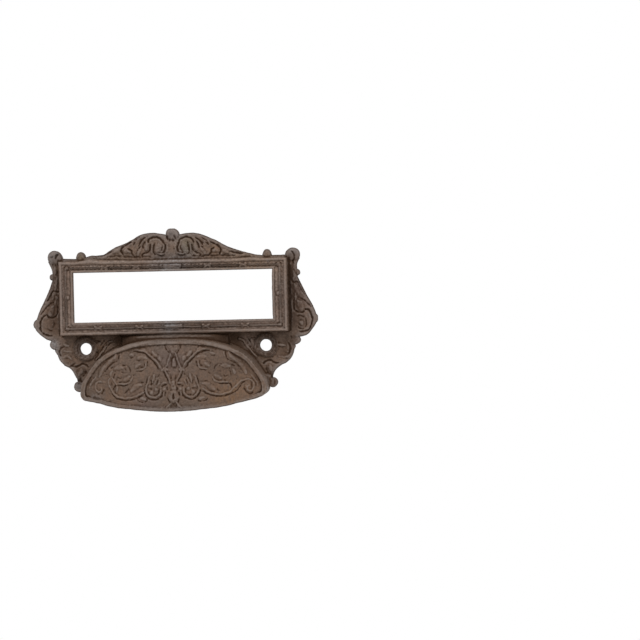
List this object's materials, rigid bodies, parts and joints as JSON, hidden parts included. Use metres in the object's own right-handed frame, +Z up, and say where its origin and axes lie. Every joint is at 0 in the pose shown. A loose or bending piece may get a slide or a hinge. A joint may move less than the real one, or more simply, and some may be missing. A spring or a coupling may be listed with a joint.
{
  "type": "bin pull",
  "caption": "Cast-iron bin pull with a hollow hood for the fingers, a raised open label frame above it and a crested back plate fixed by wood screws.",
  "frame": {"origin": "midway between the two screw holes, on the flat back that lies against the drawer", "axes": "+X across the pull, +Z up, -Y out of the drawer front towards the user"},
  "size_m": [0.108, 0.02, 0.0683],
  "materials": {
    "iron": "old brown patina on cast iron, darker in the recesses, worn grey on the high edges"
  },
  "bodies": {
    "root": {"casting": "iron"}
  },
  "joints": []
}
